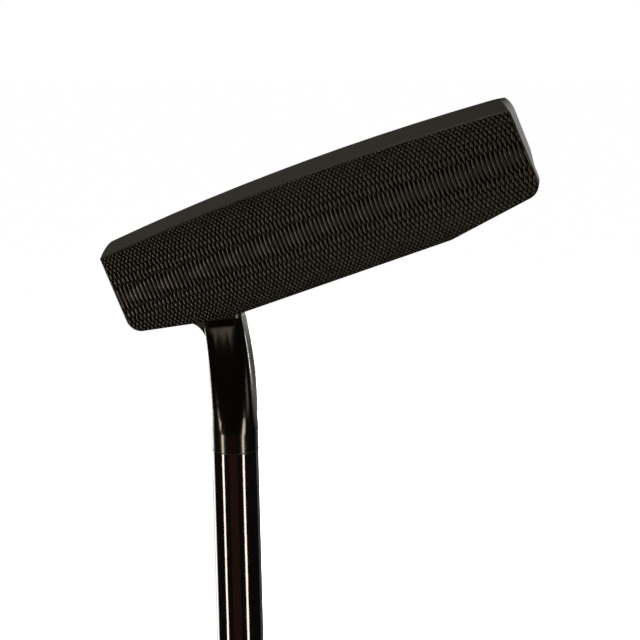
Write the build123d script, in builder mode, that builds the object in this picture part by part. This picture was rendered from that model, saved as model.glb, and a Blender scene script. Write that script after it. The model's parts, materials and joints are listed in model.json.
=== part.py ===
from build123d import *
import math
import os

# A right-handed blade putter, in millimetres.
# The origin is the centre of the grip's butt end and +Z runs up the shaft to the head, so the club
# stands head up. The toe points to +X, and the face looks to -Y.

# ---- club ----
club_length = 864.0      # butt end to the sole, along the shaft
sole_to_joint = 66.2     # sole to the shaft's tip, along the shaft
lie = 69.5               # angle between the shaft and the sole line
loft_angle = 3.0         # the face leans back from the shaft
offset = 4.9             # shaft axis ahead of the face
joint_to_face_u = 42.0   # the face's centre, seen from the shaft's tip: to the toe
joint_to_face_s = 46.5   # and to the sole

# ---- blade, in the face's own directions: U to the toe, W behind the face, S to the sole ----
heel_u = -59.0           # heel end of the blade
toe_u = 55.0             # toe end of the blade, at the topline
toe_draft = 1.1          # the toe end is this much shorter at the sole
top_s = -14.2            # topline
sole_s = 16.4            # lowest line of the sole, in the middle
sole_mid_u = -6.9        # where the sole's camber touches the ground
camber_r = 702.0         # heel-to-toe camber of the sole
blade_depth = 29.0       # face to the flange's back edge
topline_w = 6.0          # thickness of the topline
top_flat_heel_u = -33.3  # the level stretch of the topline
top_flat_toe_u = 30.0
heel_slope = 10.5        # the topline falls away to the heel and to the toe, degrees
toe_slope = 8.7
heel_top_r = 4.1
toe_top_r = 3.8
heel_sole_r = 1.9
toe_sole_r = 5.0
rim_chamfer = 0.3        # round the face

# ---- sole ----
front_bevel_w = 8.5      # front bevel: its depth along the sole, and its rise at the face
front_bevel_s = 2.75
sole_slope = 0.10        # behind the front bevel the sole rises this much per millimetre
rear_bevel_w = 6.5       # the same at the back
rear_bevel_s = 3.0
heel_back_r = 11.0       # the blade's back corners, seen from above
toe_back_r = 20.0

# ---- cavity back ----
bumper_top_s = -4.5      # top of the heel and toe bumpers, next to the blade
bumper_w = 22.0          # where their slope ends, and how far down it is there
bumper_back_s = 3.0
bumper_end_s = 8.0       # their top at the back edge
cavity_heel_u = -30.0    # the open middle between the bumpers
cavity_toe_u = 30.0
cavity_w = 6.8           # thickness of the blade at the flange
cavity_flare = 4.0       # the opening is this much wider at its back, on each side
cavity_corner_r = 3.0
flange_s = 7.6           # the flange's upper face

# ---- sight line ----
sight_len = 15.0
sight_wide = 1.6
sight_depth = 0.8
sight_mid_w = 19.0
sight_fill_low = 0.2     # the paint lies below the flange's surface

# ---- neck ----
neck_u = -35.2           # middle of the bar's foot on the topline
neck_w = 6.8
bar_across = 10.8        # heel to toe
bar_deep = 7.6           # front to back
bar_corner_r = 2.0
bar_reach = 14.0         # how deep the foot reaches into the heel bumper
cove_r = 5.5             # hollow between the bar and the topline, on the heel's side
cove_arm = 6.0
cove_sink = 0.12         # its block lies this deep inside both
cove_front_w = 3.2
cove_back_w = 5.6
collar_len = 5.0         # round collar above the joint
side_arc = 30.0          # how much of the collar's circle flows into each flat side, degrees
blend_len = 9.0          # from the collar to the flat-sided bar
blend_across = 11.2
blend_deep = 11.4
blend_corner_r = 3.6
blend_x = -0.55          # how far the bar has moved off the shaft's axis there
blend_y = 1.9

# ---- shaft and its joint ----
shaft_tip_od = 12.5
shaft_butt_od = 15.2
shaft_wall = 0.6
bond = 0.15              # epoxy all round the spigot
joint_gap = 0.35         # the ring of epoxy between collar and shaft
ring_sink = 0.15         # the ring lies below the shaft's surface
spigot_len = 28.0
spigot_chamfer = 0.8
butt_parallel = 438.0    # parallel from the butt to here, then an even taper to the tip

# ---- grip ----
grip_len = 267.0
grip_mouth_r = 10.4      # half the grip's width at the mouth, in the waist and at the butt
grip_waist_r = 12.2
grip_butt_r = 14.8
grip_waist_z = 139.0
butt_flat = 12.2         # distance of the thumb flat from the axis, at the same three places
waist_flat = 9.9
mouth_flat = 9.8
wrap_wall = 1.6
tape_t = 0.25
tape_inset = 8.0         # the tape ends this far inside the grip
mouth_ring_len = 7.0
mouth_band = 2.5         # its parallel part
mouth_lip = 0.3          # it stands this far proud of the wrap
mouth_edge = 1.2         # wall left at its end
cap_len = 4.0
cap_edge_r = 1.5
cap_plug_len = 7.0
plug_gap = 0.1
vent_r = 1.5

# ---- sole weights ----
weight_u = 41.0          # distance of each weight from the middle between them
weight_mid_u = -2.0
weight_w = 15.5          # behind the face, in the middle of the sole's flat
weight_head_r = 6.4
weight_head_t = 3.2
weight_stud_r = 4.5
weight_stud_len = 5.0
weight_chamfer = 0.4
weight_gap = 0.08        # running clearance of stud and head
weight_recess = 0.2      # the head lies below the sole
weight_seat_gap = 0.05   # under the head
stud_end_gap = 0.5
socket_across = 4.0
socket_depth = 3.0
seal_r = 0.55            # half the O-ring's thickness
seal_gap = 0.04          # round the O-ring, in its groove

over = 1.0               # cutters stand this far past what they cut
cutter_turn = 8.0        # half the turn of the bevels' cutters about the camber's axis, degrees

# ---- sizes that follow ----
joint_z = club_length - sole_to_joint
shaft_tip_r = shaft_tip_od / 2
shaft_butt_r = shaft_butt_od / 2
spigot_r = shaft_tip_r - shaft_wall - bond
toe_sole_u = toe_u - toe_draft
seat_depth = weight_recess + weight_head_t + weight_seat_gap
heel_top_s = top_s + (top_flat_heel_u - heel_u) * math.tan(math.radians(heel_slope))
toe_top_s = top_s + (toe_u - top_flat_toe_u) * math.tan(math.radians(toe_slope))

os.makedirs("parts", exist_ok=True)

# ---- the head's directions and planes ----
tilt = math.radians(90.0 - lie)
lean = math.radians(loft_angle)
to_toe = Vector(math.cos(tilt), 0.0, math.sin(tilt))
square_back = Vector(0.0, 1.0, 0.0)
square_sole = Vector(-math.sin(tilt), 0.0, math.cos(tilt))
to_back = square_back * math.cos(lean) + square_sole * math.sin(lean)
to_sole = square_sole * math.cos(lean) - square_back * math.sin(lean)
joint = Vector(0.0, 0.0, joint_z)
face_centre = joint + to_toe * joint_to_face_u + to_back * offset + to_sole * joint_to_face_s


def at(u, w, s):
    """The point at these distances from the face's centre."""
    return face_centre + to_toe * u + to_back * w + to_sole * s


def face_plane(w):
    """Parallel to the face, w behind it, seen from the front: x to the toe, y to the sole."""
    return Plane(origin=at(0, w, 0), x_dir=to_toe, z_dir=-to_back)


def level_plane(s):
    """Square to the face at height s: x to the toe, y to the back, normal to the sole."""
    return Plane(origin=at(0, 0, s), x_dir=to_toe, z_dir=to_sole)


def end_plane(u):
    """Across the blade at u: x to the back, y to the sole."""
    return Plane(origin=at(u, 0, 0), x_dir=to_back, z_dir=to_toe)


def camber_s(u, s):
    """Where a line of the sole that is at s in the middle has risen to at u."""
    return s - camber_r + math.sqrt(camber_r**2 - (u - sole_mid_u) ** 2)


def weight_plane(side, depth=0.0):
    """On the sole at a weight, or depth below it, square to the camber: x to the toe."""
    turn = math.asin((weight_mid_u + side * weight_u - sole_mid_u) / camber_r)
    radial = to_toe * math.sin(turn) + to_sole * math.cos(turn)
    along = to_toe * math.cos(turn) - to_sole * math.sin(turn)
    rise = sole_slope * (weight_w - front_bevel_w)
    middle = at(sole_mid_u, weight_w, sole_s - camber_r) + radial * (camber_r - rise)
    out = (radial + to_back * sole_slope).normalized()
    return Plane(origin=middle - out * depth, x_dir=along, z_dir=out)


# ---- head ----
camber_axis = Axis(at(sole_mid_u, 0, sole_s - camber_r), to_back)
foot = at(neck_u, neck_w, top_s)
blend_end_z = joint_z + collar_len + blend_len
to_blend = Vector(blend_x, blend_y, blend_end_z) - foot
along_bar = Vector(to_blend.dot(to_toe), to_blend.dot(to_sole)).normalized()
fall = math.radians(heel_slope)
along_top = Vector(-math.cos(fall), math.sin(fall))
root_u = neck_u - bar_across / 2 + cove_sink
root = Vector(root_u, top_s + (top_flat_heel_u - root_u) * math.tan(fall) + cove_sink)

with BuildPart() as head:
    with BuildSketch(face_plane(0)) as outline:
        with BuildLine():
            Polyline(
                (heel_u, camber_s(heel_u, sole_s)),
                (heel_u, heel_top_s),
                (top_flat_heel_u, top_s),
                (top_flat_toe_u, top_s),
                (toe_u, toe_top_s),
                (toe_sole_u, camber_s(toe_sole_u, sole_s)),
            )
            ThreePointArc(
                (toe_sole_u, camber_s(toe_sole_u, sole_s)),
                (sole_mid_u, sole_s),
                (heel_u, camber_s(heel_u, sole_s)),
            )
        make_face()
        for corner, radius in (
            ((heel_u, heel_top_s), heel_top_r),
            ((toe_u, toe_top_s), toe_top_r),
            ((heel_u, camber_s(heel_u, sole_s)), heel_sole_r),
            ((toe_sole_u, camber_s(toe_sole_u, sole_s)), toe_sole_r),
        ):
            fillet(outline.vertices().sort_by_distance(corner)[0], radius)
    extrude(amount=-blade_depth)
    # its back corners are round, seen from above
    with BuildSketch(level_plane(sole_s + over)) as plan:
        with BuildLine():
            Polyline(
                (heel_u, -over),
                (toe_u, -over),
                (toe_u, blade_depth),
                (heel_u, blade_depth),
                close=True,
            )
        make_face()
        fillet(plan.vertices().sort_by_distance((heel_u, blade_depth))[0], heel_back_r)
        fillet(plan.vertices().sort_by_distance((toe_u, blade_depth))[0], toe_back_r)
    extrude(amount=top_s - sole_s - 2 * over, mode=Mode.INTERSECT)
    # the sole's bevels and its slope are cut by wedges turned about the camber's axis
    front_rise = front_bevel_s / front_bevel_w
    rear_w = blade_depth - rear_bevel_w
    rear_s = sole_s - sole_slope * (rear_w - front_bevel_w)
    rear_rise = rear_bevel_s / rear_bevel_w
    for turn in (cutter_turn, -cutter_turn):
        with BuildSketch(end_plane(sole_mid_u)):
            with BuildLine():
                Polyline(
                    (-over, sole_s - front_bevel_s - over * front_rise),
                    (front_bevel_w + over / front_rise, sole_s + over),
                    (-over, sole_s + over),
                    close=True,
                )
            make_face()
            with BuildLine():
                Polyline(
                    (blade_depth + over, rear_s - rear_bevel_s - over * rear_rise),
                    (rear_w, rear_s),
                    (front_bevel_w - over, sole_s + over * sole_slope),
                    (blade_depth + over, sole_s + over * sole_slope),
                    close=True,
                )
            make_face()
        revolve(axis=camber_axis, revolution_arc=turn, mode=Mode.SUBTRACT)
    # the back: the blade is thin, and the bumpers slope away from it
    with BuildSketch(end_plane(heel_u - over)):
        with BuildLine():
            Polyline(
                (topline_w, top_s - over),
                (topline_w, bumper_top_s),
                (bumper_w, bumper_back_s),
                (blade_depth + over, bumper_end_s),
                (blade_depth + over, top_s - over),
                close=True,
            )
        make_face()
    extrude(amount=toe_u - heel_u + 2 * over, mode=Mode.SUBTRACT)
    # the open middle between the bumpers, down to the flange
    with BuildSketch(level_plane(flange_s)) as opening:
        with BuildLine():
            Polyline(
                (cavity_heel_u, cavity_w),
                (cavity_toe_u, cavity_w),
                (cavity_toe_u + cavity_flare, blade_depth + over),
                (cavity_heel_u - cavity_flare, blade_depth + over),
                close=True,
            )
        make_face()
        fillet(opening.vertices().group_by(Axis.Y)[0], cavity_corner_r)
    extrude(amount=top_s - flange_s, mode=Mode.SUBTRACT)
    # a fine chamfer round the face
    chamfer(head.faces().sort_by(Axis(face_centre, to_back))[0].edges(), rim_chamfer)
    # the neck: a round collar on the shaft's axis, flowing into a flat-sided bar; the collar's
    # circle is drawn in eight arcs, one for each side and corner of the bar
    with BuildSketch(Plane.XY.offset(joint_z + collar_len)):
        with BuildLine():
            for quarter in range(4):
                corner_start = 90.0 * quarter + side_arc / 2
                CenterArc((0, 0), shaft_tip_r, corner_start, 90.0 - side_arc)
                CenterArc((0, 0), shaft_tip_r, corner_start + 90.0 - side_arc, side_arc)
        make_face()
    with BuildSketch(Plane((blend_x, blend_y, blend_end_z))):
        RectangleRounded(blend_across, blend_deep, blend_corner_r)
    with BuildSketch(Plane(foot)) as bar_foot:
        RectangleRounded(bar_across, bar_deep, bar_corner_r)
    loft()
    extrude(bar_foot.sketch, amount=bar_reach)
    with BuildSketch(face_plane(cove_front_w)) as cove:
        with BuildLine():
            Polyline(
                root,
                root + cove_arm * along_top,
                root + cove_arm * (along_top - along_bar) / 2,
                root - cove_arm * along_bar / 2 + cove_arm * Vector(0.5, 0),
                root + cove_arm * along_bar + cove_arm * Vector(0.5, 0),
                root + cove_arm * along_bar,
                close=True,
            )
        make_face()
        fillet(cove.vertices().sort_by_distance(root)[0], cove_r)
    extrude(amount=cove_front_w - cove_back_w)
    # the collar, and the spigot that goes inside the shaft
    with BuildSketch(Plane.XY.offset(joint_z)):
        Circle(shaft_tip_r)
    extrude(amount=collar_len)
    with BuildSketch(Plane.XY.offset(joint_z)):
        Circle(spigot_r)
    extrude(amount=spigot_chamfer - spigot_len)
    with BuildSketch(Plane.XY.offset(joint_z - spigot_len + spigot_chamfer)):
        Circle(spigot_r)
    extrude(amount=-spigot_chamfer, taper=45)
    # holes for the sole weights: head, seal groove and stud
    for side in (-1, 1):
        for radius, depth in (
            (weight_head_r + weight_gap, seat_depth),
            (weight_stud_r + 2 * seal_r + 2 * seal_gap, seat_depth + 2 * seal_r + 2 * seal_gap),
            (weight_stud_r + weight_gap, seat_depth + weight_stud_len + stud_end_gap),
        ):
            with BuildSketch(weight_plane(side, depth)):
                Circle(radius)
            extrude(amount=depth + over, mode=Mode.SUBTRACT)
    # the groove of the sight line, in the flange
    with BuildSketch(level_plane(flange_s - over)):
        with Locations((sole_mid_u, sight_mid_w)):
            Rectangle(sight_wide, sight_len)
    extrude(amount=sight_depth + over, mode=Mode.SUBTRACT)
head.part.label = "head"
export_step(head.part, "parts/head.step")

# ---- sight line ----
with BuildPart() as sight_line:
    with BuildSketch(level_plane(flange_s + sight_fill_low)):
        with Locations((sole_mid_u, sight_mid_w)):
            Rectangle(sight_wide, sight_len)
    extrude(amount=sight_depth - sight_fill_low)
sight_line.part.label = "sight_line"
export_step(sight_line.part, "parts/sight_line.step")

# ---- sole weights and their seals ----
for side, end in ((-1, "heel"), (1, "toe")):
    with BuildPart() as weight:
        with BuildSketch(weight_plane(side, weight_recess)):
            Circle(weight_head_r)
        extrude(amount=-weight_head_t)
        with BuildSketch(weight_plane(side, weight_recess)):
            Circle(weight_stud_r)
        extrude(amount=-(weight_head_t + weight_seat_gap + weight_stud_len))
        rims = weight.faces().sort_by(Axis(face_centre, to_sole))
        chamfer(rims[0].edges() + rims[-1].edges(), weight_chamfer)
        with BuildSketch(weight_plane(side, weight_recess)):
            RegularPolygon(socket_across / 2, 6, major_radius=False)
        extrude(amount=-socket_depth, mode=Mode.SUBTRACT)
    weight.part.label = end + "_weight"
    export_step(weight.part, "parts/" + end + "_weight.step")

    seal_plane = weight_plane(side, seat_depth + seal_gap + seal_r)
    with BuildPart() as seal:
        with BuildSketch(Plane(seal_plane.origin, x_dir=seal_plane.x_dir, z_dir=-seal_plane.y_dir)):
            with Locations((weight_stud_r + seal_gap + seal_r, 0)):
                Circle(seal_r)
        revolve(axis=Axis(seal_plane.origin, seal_plane.z_dir))
    seal.part.label = end + "_weight_seal"
    export_step(seal.part, "parts/" + end + "_weight_seal.step")

# ---- shaft ----
with BuildPart() as shaft:
    with BuildSketch(Plane.XZ):
        with BuildLine():
            Polyline(
                (shaft_butt_r - shaft_wall, cap_len),
                (shaft_butt_r, cap_len),
                (shaft_butt_r, butt_parallel),
                (shaft_tip_r, joint_z - joint_gap),
                (shaft_tip_r - shaft_wall, joint_z - joint_gap),
                (shaft_tip_r - shaft_wall, joint_z - spigot_len - over),
                (shaft_butt_r - shaft_wall, butt_parallel),
                close=True,
            )
        make_face()
    revolve(axis=Axis.Z)
shaft.part.label = "shaft"
export_step(shaft.part, "parts/shaft.step")

# ---- the epoxy that holds the shaft on the spigot, with its ring at the joint ----
with BuildPart() as shaft_bond:
    with BuildSketch(Plane.XZ):
        with BuildLine():
            Polyline(
                (spigot_r, joint_z),
                (shaft_tip_r - ring_sink, joint_z),
                (shaft_tip_r - ring_sink, joint_z - joint_gap),
                (spigot_r + bond, joint_z - joint_gap),
                (spigot_r + bond, joint_z - spigot_len + spigot_chamfer),
                (spigot_r, joint_z - spigot_len + spigot_chamfer),
                close=True,
            )
        make_face()
    revolve(axis=Axis.Z)
shaft_bond.part.label = "shaft_bond"
export_step(shaft_bond.part, "parts/shaft_bond.step")

# ---- grip ----
# each section is a circle with the thumb flat cut off: its height, radius and the flat's distance
grip_outside = (
    (cap_len, grip_butt_r, butt_flat),
    (grip_waist_z, grip_waist_r, waist_flat),
    (grip_len - mouth_ring_len, grip_mouth_r, mouth_flat),
)
grip_inside = [(height, radius - wrap_wall, flat - wrap_wall) for height, radius, flat in grip_outside]

with BuildPart() as grip_underlisting:
    for height, radius, flat in grip_inside:
        with BuildSketch(Plane.XY.offset(height)):
            Circle(radius)
            with Locations((flat, 0)):
                Rectangle(radius, 2 * radius, align=(Align.MIN, Align.CENTER), mode=Mode.SUBTRACT)
    loft()
    with BuildSketch(Plane.XY.offset(cap_len - over)):
        Circle(shaft_butt_r + tape_t)
    extrude(amount=grip_len, mode=Mode.SUBTRACT)
grip_underlisting.part.label = "grip_underlisting"
export_step(grip_underlisting.part, "parts/grip_underlisting.step")

with BuildPart() as grip_wrap:
    for sections, way in ((grip_outside, Mode.ADD), (grip_inside, Mode.SUBTRACT)):
        for height, radius, flat in sections:
            with BuildSketch(Plane.XY.offset(height)):
                Circle(radius)
                with Locations((flat, 0)):
                    Rectangle(radius, 2 * radius, align=(Align.MIN, Align.CENTER), mode=Mode.SUBTRACT)
        loft(mode=way)
grip_wrap.part.label = "grip_wrap"
export_step(grip_wrap.part, "parts/grip_wrap.step")

with BuildPart() as grip_tape:
    with BuildSketch(Plane.XY.offset(tape_inset)):
        Circle(shaft_butt_r + tape_t)
        Circle(shaft_butt_r, mode=Mode.SUBTRACT)
    extrude(amount=grip_len - 2 * tape_inset)
grip_tape.part.label = "grip_tape"
export_step(grip_tape.part, "parts/grip_tape.step")

with BuildPart() as grip_mouth_ring:
    with BuildSketch(Plane.XZ):
        with BuildLine():
            Polyline(
                (shaft_butt_r, grip_len - mouth_ring_len),
                (grip_mouth_r + mouth_lip, grip_len - mouth_ring_len),
                (grip_mouth_r + mouth_lip, grip_len - mouth_ring_len + mouth_band),
                (shaft_butt_r + mouth_edge, grip_len),
                (shaft_butt_r, grip_len),
                close=True,
            )
        make_face()
    revolve(axis=Axis.Z)
grip_mouth_ring.part.label = "grip_mouth_ring"
export_step(grip_mouth_ring.part, "parts/grip_mouth_ring.step")

with BuildPart() as grip_end_cap:
    with BuildSketch(Plane.XY):
        Circle(grip_butt_r)
        with Locations((butt_flat, 0)):
            Rectangle(grip_butt_r, 2 * grip_butt_r, align=(Align.MIN, Align.CENTER), mode=Mode.SUBTRACT)
    extrude(amount=cap_len)
    fillet(grip_end_cap.faces().sort_by(Axis.Z)[0].edges(), cap_edge_r)
    with BuildSketch(Plane.XY.offset(cap_len)):
        Circle(shaft_butt_r - shaft_wall - plug_gap)
    extrude(amount=cap_plug_len)
    with BuildSketch(Plane.XY):
        Circle(vent_r)
    extrude(amount=cap_len + cap_plug_len, mode=Mode.SUBTRACT)
grip_end_cap.part.label = "grip_end_cap"
export_step(grip_end_cap.part, "parts/grip_end_cap.step")
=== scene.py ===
# %% [markdown]
# # A blade putter, head up
# The imported model holds every part of the club at its real size: the milled head with its neck, the
# sole weights, the shaft and the layers of the grip. Here each of them gets its finish, and the milled
# face, whose look needs a finer surface than construction needs, is modelled again over the head's face.

# %% Load the frame
import json
import math

import bmesh
import bpy
from mathutils import Matrix, Vector


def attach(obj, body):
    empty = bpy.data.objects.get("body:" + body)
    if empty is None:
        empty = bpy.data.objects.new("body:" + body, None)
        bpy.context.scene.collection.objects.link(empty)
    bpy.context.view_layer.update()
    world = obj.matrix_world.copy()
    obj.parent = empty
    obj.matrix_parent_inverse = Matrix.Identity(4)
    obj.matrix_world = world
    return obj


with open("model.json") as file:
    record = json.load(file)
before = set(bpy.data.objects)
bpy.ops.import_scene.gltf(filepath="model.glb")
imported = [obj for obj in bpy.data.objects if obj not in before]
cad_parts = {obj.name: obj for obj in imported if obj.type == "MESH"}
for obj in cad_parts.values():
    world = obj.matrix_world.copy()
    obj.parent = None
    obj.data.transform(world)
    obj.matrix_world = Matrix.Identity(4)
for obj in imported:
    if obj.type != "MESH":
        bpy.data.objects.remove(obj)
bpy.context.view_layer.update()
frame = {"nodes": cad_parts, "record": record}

record = frame["record"]
MM = 0.001
print("nodes:", sorted(frame["nodes"]))

# %% [markdown]
# ## The head's own directions
# A putter's head isn't square to its shaft: the lie angle tips it to the toe, and the loft leans the
# face back. Everything on the head is easier to place in its own directions, so these three vectors
# come first: to the toe, to the back and to the sole. They start from the middle of the face, which
# the record gives as a mount.

# %% Directions of the head
LIE = math.radians(69.5)
LOFT = math.radians(3.0)
tilt = math.radians(90.0) - LIE
to_toe = Vector((math.cos(tilt), 0, math.sin(tilt)))
square_back = Vector((0, 1, 0))
square_sole = Vector((-math.sin(tilt), 0, math.cos(tilt)))
to_back = square_back * math.cos(LOFT) + square_sole * math.sin(LOFT)
to_sole = square_sole * math.cos(LOFT) - square_back * math.sin(LOFT)
mounts = {mount["name"]: mount for mount in record["mounts"]}
face_centre = Vector(mounts["striking_face"]["pos_m"])
print("face centre", [round(c, 4) for c in face_centre])


def on_head(u, w, s):
    """A point u to the toe, w behind the face and s to the sole, in millimetres."""
    return face_centre + (to_toe * u + to_back * w + to_sole * s) * MM


# %% [markdown]
# ## Camera
# The view is a close one, with a long lens, from the toe's side of the face and a little below the
# sole's edge. It is given by three turns about the face's own directions and the distance to it, so
# it stays right if the club is made longer.

# %% Camera
VIEW_ROLL = math.radians(-18.76)
VIEW_YAW = math.radians(15.79)
VIEW_PITCH = math.radians(10.77)
VIEW_DISTANCE = 0.3150
VIEW_DROP = -0.0234          # the face's centre lies this far above the picture's middle
LENS = 70.3
SENSOR = 36.0
from_face = (
    Matrix.Rotation(VIEW_ROLL, 3, "Z")
    @ Matrix.Rotation(VIEW_YAW, 3, "Y")
    @ Matrix.Rotation(VIEW_PITCH, 3, "X")
)
# rows of face_axes are the face's directions: to the toe, to the topline, to the back
face_axes = Matrix((to_toe, -to_sole, to_back))
view_axes = from_face @ face_axes
centre_in_view = Vector((0, VIEW_DROP, VIEW_DISTANCE))
eye = face_centre - view_axes.transposed() @ centre_in_view
right, down, ahead = view_axes[0], view_axes[1], view_axes[2]
camera_data = bpy.data.cameras.new("camera")
camera_data.lens = LENS
camera_data.sensor_width = SENSOR
camera_data.clip_start = 0.01
camera_data.clip_end = 100
camera = bpy.data.objects.new("camera", camera_data)
turn = Matrix((right, -down, -ahead)).transposed().to_4x4()
camera.matrix_world = Matrix.Translation(eye) @ turn
bpy.context.scene.collection.objects.link(camera)
bpy.context.scene.camera = camera
print("camera at", [round(c, 3) for c in eye], "looking", [round(c, 3) for c in ahead])

# %% [markdown]
# ## Light and floor
# A black, polished club is seen only by what it reflects. The room is white where the camera looks
# past the club, but dim in reflections, and a few soft lights draw the bright lines down the shaft
# and along the edges of the head.

# %% Studio
FLOOR_SIZE = 60.0
world = bpy.data.worlds.new("studio")
bpy.context.scene.world = world
world.use_nodes = True
world_nodes = world.node_tree.nodes
world_links = world.node_tree.links
backdrop = world_nodes["Background"]
room = world_nodes.new("ShaderNodeBackground")
ray = world_nodes.new("ShaderNodeLightPath")
either = world_nodes.new("ShaderNodeMixShader")
room.inputs["Color"].default_value = (1.0, 0.97, 0.90, 1)
room.inputs["Strength"].default_value = 0.02
backdrop.inputs["Color"].default_value = (1, 1, 1, 1)
backdrop.inputs["Strength"].default_value = 1.0
world_links.new(ray.outputs["Is Camera Ray"], either.inputs[0])
world_links.new(room.outputs[0], either.inputs[1])
world_links.new(backdrop.outputs[0], either.inputs[2])
world_links.new(either.outputs[0], world_nodes["World Output"].inputs["Surface"])


def soft_light(name, place, target, width, height, watts, tint=(1, 1, 1)):
    """A rectangular soft light at place, turned to target."""
    data = bpy.data.lights.new(name, "AREA")
    data.shape = "RECTANGLE"
    data.size = width
    data.size_y = height
    data.energy = watts
    data.color = tint
    lamp = bpy.data.objects.new(name, data)
    lamp.location = place
    lamp.rotation_euler = (Vector(target) - Vector(place)).to_track_quat("-Z", "Y").to_euler()
    bpy.context.scene.collection.objects.link(lamp)


LIGHT_REACH = 1.3
TIP_BELOW_FACE = 0.06
shaft_tip = Vector((0, 0, face_centre.z - TIP_BELOW_FACE))


def around(degrees, height):
    """A place this many degrees round the shaft from the camera, to the picture's right."""
    base = Vector((-ahead.x, -ahead.y, 0)).normalized()
    side = Matrix.Rotation(math.radians(degrees), 3, "Z") @ base
    return shaft_tip + side * LIGHT_REACH + Vector((0, 0, height))


# the shaft is upright and the view looks a little down, so it shows only what stands low
LOW = -0.45
# where the sole reflects the camera to
above_sole = (to_sole * 0.70 + to_back * 0.66 - to_toe * 0.27).normalized() * LIGHT_REACH
soft_light("strip_left", around(-61, LOW), shaft_tip, 0.22, 1.0, 5.6)
soft_light("strip_right", around(41, LOW), shaft_tip, 0.20, 1.0, 5.0)
soft_light("behind_left", around(-139, LOW), shaft_tip, 0.6, 1.0, 6)
soft_light("behind_right", around(140, LOW), shaft_tip, 0.9, 1.0, 0.8)
soft_light("warm_front", around(-10, LOW), shaft_tip, 0.9, 1.0, 0.16, (1, 0.36, 0.15))
soft_light("over_sole", face_centre + above_sole, face_centre, 1.2, 1.2, 0.85)
soft_light("behind_toe", around(150, 0.25), face_centre, 0.5, 0.5, 0.8)
# the last three are for the back, the sole and the toe end, clear of what the front reflects
above_front = (to_sole - to_back * 0.25).normalized() * LIGHT_REACH
soft_light("behind_low", around(178, -0.5), face_centre, 1.0, 0.8, 14)
soft_light("above_front", face_centre + above_front, face_centre, 0.8, 0.8, 1.5)
soft_light("from_toe", around(75, 0.25), face_centre, 0.4, 0.5, 0.5)

floor_mesh = bpy.data.meshes.new("floor")
floor = bpy.data.objects.new("floor", floor_mesh)
bpy.context.scene.collection.objects.link(floor)
shape = bmesh.new()
bmesh.ops.create_grid(shape, x_segments=1, y_segments=1, size=FLOOR_SIZE / 2)
shape.to_mesh(floor_mesh)
shape.free()
floor.visible_glossy = False
pale = bpy.data.materials.new("pale_floor")
pale.use_nodes = True
pale_shader = pale.node_tree.nodes["Principled BSDF"]
pale_shader.inputs["Base Color"].default_value = (0.9, 0.9, 0.9, 1)
pale_shader.inputs["Roughness"].default_value = 0.9
pale_shader.inputs["Emission Color"].default_value = (1, 1, 1, 1)
pale_shader.inputs["Emission Strength"].default_value = 0.98
floor_mesh.materials.append(pale)
bpy.context.scene.view_settings.view_transform = "Standard"

# %% [markdown]
# ## Finishes
# Every finish is a node material on Object coordinates. A small helper makes the shader and its
# coordinates, and one more puts a fine grain into roughness and bump, which is what keeps a dark
# metal from looking like plastic.

# %% Material helpers


def new_finish(name, colour, metallic, roughness):
    """A Principled material: its nodes, its links and the shader."""
    material = bpy.data.materials.new(name)
    material.use_nodes = True
    nodes = material.node_tree.nodes
    links = material.node_tree.links
    shader = nodes["Principled BSDF"]
    shader.inputs["Base Color"].default_value = (*colour, 1)
    shader.inputs["Metallic"].default_value = metallic
    shader.inputs["Roughness"].default_value = roughness
    return material, nodes, links, shader


def placed(nodes, links, scale=(1, 1, 1), turn=(0, 0, 0)):
    """Object coordinates, scaled and turned."""
    coordinates = nodes.new("ShaderNodeTexCoord")
    mapping = nodes.new("ShaderNodeMapping")
    mapping.inputs["Scale"].default_value = scale
    mapping.inputs["Rotation"].default_value = turn
    links.new(coordinates.outputs["Object"], mapping.inputs["Vector"])
    return mapping.outputs["Vector"]


def spread(nodes, links, value, low, high, start=0.0, end=1.0):
    """value from start to end becomes low to high."""
    ramp = nodes.new("ShaderNodeMapRange")
    ramp.inputs["From Min"].default_value = start
    ramp.inputs["From Max"].default_value = end
    ramp.inputs["To Min"].default_value = low
    ramp.inputs["To Max"].default_value = high
    links.new(value, ramp.inputs["Value"])
    return ramp.outputs["Result"]


def grain(nodes, links, shader, where, size, roughness, bump=0.0, distance=0.0001):
    """Noise of this size in the roughness, and in a bump if one is asked for."""
    noise = nodes.new("ShaderNodeTexNoise")
    noise.inputs["Scale"].default_value = size
    noise.inputs["Detail"].default_value = 6
    links.new(where, noise.inputs["Vector"])
    rough = spread(nodes, links, noise.outputs["Fac"], *roughness, 0.3, 0.7)
    links.new(rough, shader.inputs["Roughness"])
    if bump:
        rise = nodes.new("ShaderNodeBump")
        rise.inputs["Strength"].default_value = bump
        rise.inputs["Distance"].default_value = distance
        links.new(noise.outputs["Fac"], rise.inputs["Height"])
        links.new(rise.outputs["Normal"], shader.inputs["Normal"])
    return noise


def two_tone(nodes, links, shader, value, dark, light):
    """The base colour goes from dark to light with value."""
    mix = nodes.new("ShaderNodeMix")
    mix.data_type = "RGBA"
    mix.inputs["A"].default_value = (*dark, 1)
    mix.inputs["B"].default_value = (*light, 1)
    links.new(value, mix.inputs["Factor"])
    links.new(mix.outputs["Result"], shader.inputs["Base Color"])


# %% Black finish of the head
SMOOTH_TO_S = -17.5      # the neck is smooth up to here, and the blade is blasted from here, in
BLASTED_FROM_S = -13.5   # millimetres to the sole from the face's centre
NECK_ROUGHNESS = 0.17


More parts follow.
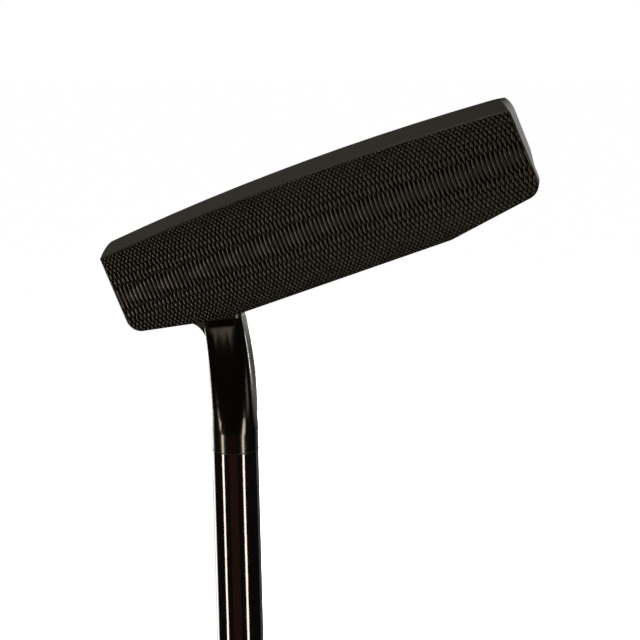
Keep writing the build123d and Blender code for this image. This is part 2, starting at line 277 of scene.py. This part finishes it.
def along(nodes, links, start, direction):
    """How far a point lies from start along direction, in metres."""
    place = nodes.new("ShaderNodeTexCoord")
    dot = nodes.new("ShaderNodeVectorMath")
    dot.operation = "DOT_PRODUCT"
    dot.inputs[1].default_value = direction
    less = nodes.new("ShaderNodeMath")
    less.operation = "SUBTRACT"
    less.inputs[1].default_value = start.dot(direction)
    links.new(place.outputs["Object"], dot.inputs[0])
    links.new(dot.outputs["Value"], less.inputs[0])
    return less.outputs["Value"]


def make_black_steel():
    """Steel with a warm black coat: satin and finely blasted on the blade, smoother on the neck."""
    material, nodes, links, shader = new_finish("black_steel", (0.10, 0.09, 0.07), 1.0, 0.42)
    grain(nodes, links, shader, placed(nodes, links), 2600, (0.38, 0.46), 0.15, 0.00002)
    blasted = shader.inputs["Roughness"].links[0].from_socket
    height = along(nodes, links, face_centre, to_sole)
    blade = spread(nodes, links, height, 0, 1, SMOOTH_TO_S * MM, BLASTED_FROM_S * MM)
    smoother = nodes.new("ShaderNodeMix")
    smoother.inputs["A"].default_value = NECK_ROUGHNESS
    links.new(blade, smoother.inputs["Factor"])
    links.new(blasted, smoother.inputs["B"])
    links.new(smoother.outputs["Result"], shader.inputs["Roughness"])
    two_tone(nodes, links, shader, blade, (0.085, 0.074, 0.056), (0.108, 0.090, 0.060))
    return material


black_steel = make_black_steel()
print("made", black_steel.name)

# %% Black chrome of the shaft


def make_black_chrome():
    """Polished black chrome: dark, mirror-like, with the faintest draw marks along the tube."""
    material, nodes, links, shader = new_finish("black_chrome", (0.12, 0.085, 0.072), 1.0, 0.08)
    where = placed(nodes, links, (1, 1, 0.3))
    noise = grain(nodes, links, shader, where, 1300, (0.05, 0.10), 0.16, 0.00002)
    shade = spread(nodes, links, noise.outputs["Fac"], 0, 1, 0.3, 0.7)
    two_tone(nodes, links, shader, shade, (0.135, 0.110, 0.098), (0.175, 0.146, 0.130))
    return material


black_chrome = make_black_chrome()
print("made", black_chrome.name)

# %% Rubber, foam, paint and tape


def make_rubber(name, colour, roughness, size, strength):
    """Rubber or soft skin with a pebbled grain."""
    material, nodes, links, shader = new_finish(name, colour, 0.0, roughness)
    where = placed(nodes, links)
    cells = nodes.new("ShaderNodeTexVoronoi")
    cells.inputs["Scale"].default_value = size
    links.new(where, cells.inputs["Vector"])
    rise = nodes.new("ShaderNodeBump")
    rise.inputs["Strength"].default_value = strength
    rise.inputs["Distance"].default_value = 0.0002
    links.new(cells.outputs["Distance"], rise.inputs["Height"])
    links.new(rise.outputs["Normal"], shader.inputs["Normal"])
    light = tuple(c * 1.7 for c in colour)
    shade = spread(nodes, links, cells.outputs["Distance"], 1, 0, 0.1, 0.7)
    two_tone(nodes, links, shader, shade, colour, light)
    return material


grip_skin = make_rubber("grip_skin", (0.018, 0.018, 0.019), 0.62, 950, 0.7)
cap_rubber = make_rubber("cap_rubber", (0.014, 0.014, 0.014), 0.5, 2500, 0.3)
seal_rubber = make_rubber("seal_rubber", (0.012, 0.012, 0.012), 0.45, 4000, 0.15)
grip_foam = make_rubber("grip_foam", (0.05, 0.05, 0.05), 0.8, 1800, 0.5)
epoxy = make_rubber("epoxy", (0.006, 0.006, 0.006), 0.3, 3000, 0.1)
sight_paint = make_rubber("sight_paint", (0.62, 0.61, 0.58), 0.5, 2200, 0.1)
tape_paper = make_rubber("tape", (0.55, 0.50, 0.40), 0.8, 1500, 0.4)
print("made", grip_skin.name, cap_rubber.name)

# %% Turned steel of the sole weights


def make_weight_steel():
    """Dark turned steel: fine rings would need each weight's own axis, so it gets a close grain."""
    material, nodes, links, shader = new_finish("weight_steel", (0.30, 0.29, 0.27), 1.0, 0.28)
    noise = grain(nodes, links, shader, placed(nodes, links, (1, 1, 0.1)), 3000, (0.2, 0.36), 0.1, 0.00003)
    shade = spread(nodes, links, noise.outputs["Fac"], 0, 1, 0.3, 0.7)
    two_tone(nodes, links, shader, shade, (0.24, 0.23, 0.21), (0.36, 0.35, 0.33))
    return material


weight_steel = make_weight_steel()

# %% Finishes on the parts
finish_of = {
    "head": black_steel,
    "sight_line": sight_paint,
    "shaft": black_chrome,
    "shaft_bond": epoxy,
    "grip_underlisting": grip_foam,
    "grip_wrap": grip_skin,
    "grip_tape": tape_paper,
    "grip_mouth_ring": cap_rubber,
    "grip_end_cap": cap_rubber,
    "heel_weight": weight_steel,
    "toe_weight": weight_steel,
    "heel_weight_seal": seal_rubber,
    "toe_weight_seal": seal_rubber,
}
for node, material in finish_of.items():
    mesh = frame["nodes"][node].data
    mesh.materials.clear()
    mesh.materials.append(material)
print("finished", len(finish_of), "parts")

# %% [markdown]
# ## Milled face
# The face is cut by a single-point fly cutter: one tooth on a wide circle, fed along the blade. The
# tooth leaves an arc going forward and another coming back, so two mirrored families of arcs cross,
# straight in the middle of the face and ever steeper to its edges. What is left between them are
# small lozenges. A bump alone would be flat from the side, so the skin is a fine grid, pushed back
# by the distance to the nearest arc of each family. The grid is bent to the face's outline.

# %% Sizes of the milling
FEED = 1.17              # distance between two cuts, millimetres
CUTTER_R = 17.9
CUT_DEPTH = 0.13
CUT_HALF_WIDTH = 0.17    # as a share of the feed
SKIN_LIFT = 0.015        # floor of the cuts above the head's face
SKIN_EDGE = 0.05         # the skin's edge reaches into the head
COLUMNS = 470
ROWS = 200
ROW_CROWDING = 0.045     # how far the rows are moved towards both edges, as a share of the height
# outline of the milled part of the face, inside its chamfer
HEEL_U, TOE_U = -58.66, 54.66
TOP_S = -13.87
TOP_FLAT_HEEL_U, TOP_FLAT_TOE_U = -33.3, 30.0
HEEL_SLOPE = math.tan(math.radians(10.5))
TOE_SLOPE = math.tan(math.radians(8.7))
SOLE_EDGE_S = 13.33
SOLE_MID_U = -6.9
CAMBER_R = 702.0
HEEL_TOP_R, TOE_TOP_R = 3.6, 3.3
HEEL_SOLE_R, TOE_SOLE_R = 1.9, 4.8
SOLE_S = 16.10           # the corners' arcs start from the sole itself, below the bevel
TOE_DRAFT = 1.1          # the toe end is this much shorter at the sole


def corner_cut(distance, radius):
    """How far a rounded corner keeps back, at this distance from the straight edge."""
    if distance >= radius:
        return 0.0
    return radius - math.sqrt(max(radius**2 - (radius - distance) ** 2, 0.0))


def top_edge(u):
    """The topline's edge of the milling at u."""
    edge = TOP_S + max(TOP_FLAT_HEEL_U - u, 0) * HEEL_SLOPE + max(u - TOP_FLAT_TOE_U, 0) * TOE_SLOPE
    return edge + corner_cut(u - HEEL_U, HEEL_TOP_R) + corner_cut(TOE_U - u, TOE_TOP_R)


def sole_edge(u):
    """The sole's edge of the milling at u."""
    rise = (u - SOLE_MID_U) ** 2 / (2 * CAMBER_R)
    corner = corner_cut(u - HEEL_U, HEEL_SOLE_R) + corner_cut(TOE_U - TOE_DRAFT - u, TOE_SOLE_R)
    return min(SOLE_EDGE_S, SOLE_S - corner) - rise


def cut(phase):
    """How deep one family cuts at this phase: 1 in the middle of a cut, 0 on a land."""
    off = abs(phase - round(phase))
    return math.exp(-((off / CUT_HALF_WIDTH) ** 2))


def land_left(u, s):
    """What both families leave at a point of the face: 1 on a land, 0 in a cut."""
    bow = CUTTER_R - math.sqrt(CUTTER_R**2 - s**2)
    return 1.0 - max(cut((u - bow) / FEED), cut((u + bow) / FEED))


# %% Model the skin


def make_face_milling():
    """The milled skin: a grid bent to the outline, pushed back in the cuts, and closed behind."""
    mesh = bpy.data.meshes.new("face_milling")
    piece = bpy.data.objects.new("face_milling", mesh)
    bpy.context.scene.collection.objects.link(piece)
    skin = bmesh.new()
    bmesh.ops.create_grid(skin, x_segments=COLUMNS, y_segments=ROWS, size=1.0)
    land = skin.verts.layers.float.new("land")
    for vert in skin.verts:
        share = (vert.co.y + 1) / 2
        u = HEEL_U + (vert.co.x + 1) / 2 * (TOE_U - TOE_DRAFT * share - HEEL_U)
        # rows lie closer together at both edges, where the arcs run steeply
        share += ROW_CROWDING * math.sin(2 * math.pi * share)
        s = top_edge(u) + share * (sole_edge(u) - top_edge(u))
        left = land_left(u, s)
        vert[land] = left
        vert.co = on_head(u, -(SKIN_LIFT + CUT_DEPTH * left), s)
    rim = [edge for edge in skin.edges if edge.is_boundary]
    walls = bmesh.ops.extrude_edge_only(skin, edges=rim)["geom"]
    for vert in (item for item in walls if isinstance(item, bmesh.types.BMVert)):
        depth = (vert.co - face_centre).dot(to_back) / MM
        vert.co += to_back * (SKIN_EDGE - depth) * MM
    back = [edge for edge in skin.edges if edge.is_boundary]
    bmesh.ops.contextual_create(skin, geom=back)
    bmesh.ops.recalc_face_normals(skin, faces=skin.faces)
    skin.to_mesh(mesh)
    skin.free()
    return piece


def make_milled_steel_painted_shade():
    """The milled face, with painted light and shade: lands coloured lighter, the cuts between them near
    black.
    """
    material, nodes, links, shader = new_finish("milled_steel_painted_shade", (0.2, 0.19, 0.17), 1.0, 0.38)
    land = nodes.new("ShaderNodeAttribute")
    land.attribute_name = "land"
    painted_land_light = spread(nodes, links, land.outputs["Fac"], 0, 1, 0.35, 0.95)
    # painted shade and highlight: the cuts are coloured near black and the lands lighter, over the real
    # relief of the skin
    two_tone(nodes, links, shader, painted_land_light, (0.0016, 0.0013, 0.0010), (0.120, 0.105, 0.080))
    grain(nodes, links, shader, placed(nodes, links), 1500, (0.32, 0.46))
    return material


face_milling = make_face_milling()
face_milling.data.materials.append(make_milled_steel_painted_shade())
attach(face_milling, "club")
print("face_milling", len(face_milling.data.polygons), "faces")
